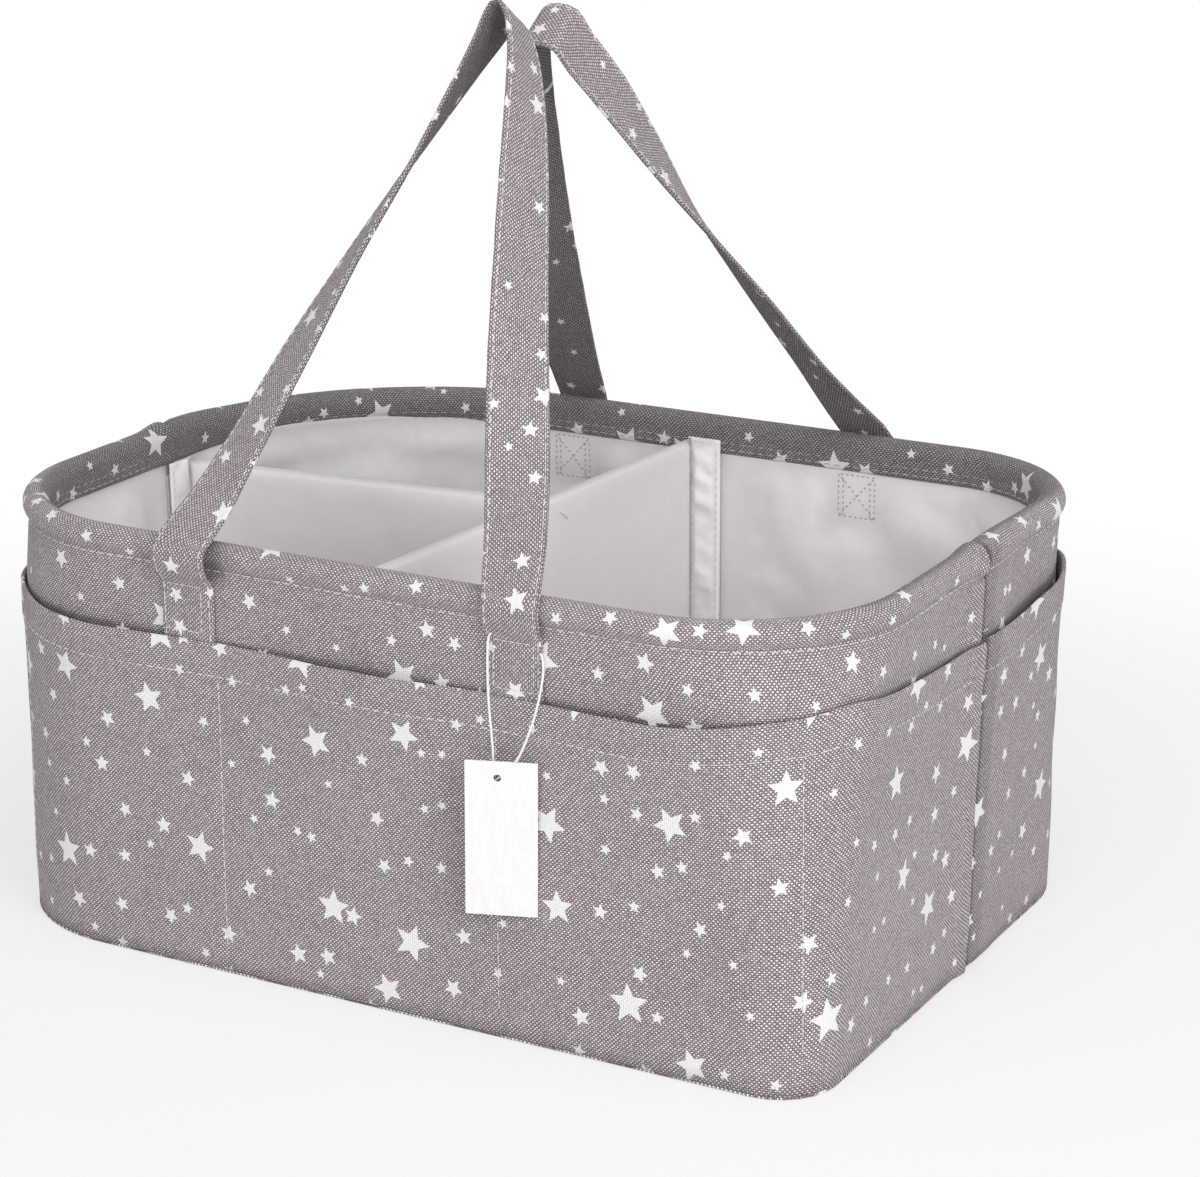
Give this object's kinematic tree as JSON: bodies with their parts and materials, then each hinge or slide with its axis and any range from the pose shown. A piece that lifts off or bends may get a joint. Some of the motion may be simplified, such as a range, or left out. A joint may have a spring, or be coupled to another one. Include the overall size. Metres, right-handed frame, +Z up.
{
  "type": "diaper caddy",
  "caption": "Open soft-sided canvas caddy with a rolled rim, outside pockets, long strap handles, lift-out padded dividers and a blank hang tag.",
  "frame": {"origin": "on the table, in the middle of the box round the caddy", "axes": "+X along the length to the right, +Y to the back, +Z up"},
  "size_m": [0.4336, 0.3291, 0.4071],
  "materials": {
    "canvas": "grey canvas weave with white stars",
    "liner": "smooth light grey lining",
    "board": "white padding board",
    "tape": "hook and loop tape",
    "card": "matte white card",
    "thread": "white string"
  },
  "bodies": {
    "caddy": {"base_panel": "canvas", "base_board": "board", "shell_front": "canvas", "shell_back": "canvas", "pocket_panel_front": "canvas", "pocket_panel_back": "canvas", "rim_core": "board", "wall_board_front": "board", "wall_board_right": "board", "wall_board_back": "board", "wall_board_left": "board", "liner_front": "liner", "liner_back": "liner", "liner_floor": "liner", "strap_end_front_left": "canvas", "strap_end_front_right": "canvas", "strap_end_back_left": "canvas", "strap_end_back_right": "canvas", "loop_tape_front": "tape", "loop_tape_back": "tape", "loop_tape_left": "tape"},
    "handle_front": {"handle_strap_front": "canvas"},
    "handle_back": {"handle_strap_back": "canvas"},
    "cross_divider": {"cross_divider_cover": "liner", "cross_divider_board": "board", "cross_divider_flap_front": "liner", "cross_divider_flap_back": "liner", "cross_divider_hooks_front": "tape", "cross_divider_hooks_back": "tape", "loop_tape_cross_divider": "tape"},
    "side_divider": {"side_divider_cover": "liner", "side_divider_board": "board", "side_divider_flap_wall": "liner", "side_divider_flap_cross": "liner", "side_divider_hooks_wall": "tape", "side_divider_hooks_cross": "tape"},
    "hang_tag": {"hang_tag_card": "card", "hang_tag_string": "thread"}
  },
  "joints": [
    {"name": "handle_front_swing", "type": "hinge", "parent": "caddy", "child": "handle_front", "pos_m": [0, -0.1533, 0.18931], "axis": [1, 0, 0], "range_deg": [0, 150]},
    {"name": "handle_back_swing", "type": "hinge", "parent": "caddy", "child": "handle_back", "pos_m": [0, 0.15864, 0.18944], "axis": [-1, 0, 0], "range_deg": [0, 150]},
    {"name": "cross_divider_lift", "type": "slide", "parent": "caddy", "child": "cross_divider", "axis": [-0.0356, 0.0461, 0.9983], "range_m": [0, 0.16]},
    {"name": "side_divider_lift", "type": "slide", "parent": "caddy", "child": "side_divider", "axis": [-0.0356, 0.0461, 0.9983], "range_m": [0, 0.16]},
    {"name": "hang_tag_swing", "type": "hinge", "parent": "caddy", "child": "hang_tag", "pos_m": [0.07363, -0.15171, 0.1697], "axis": [-1, 0, 0], "range_deg": [0, 40]}
  ]
}
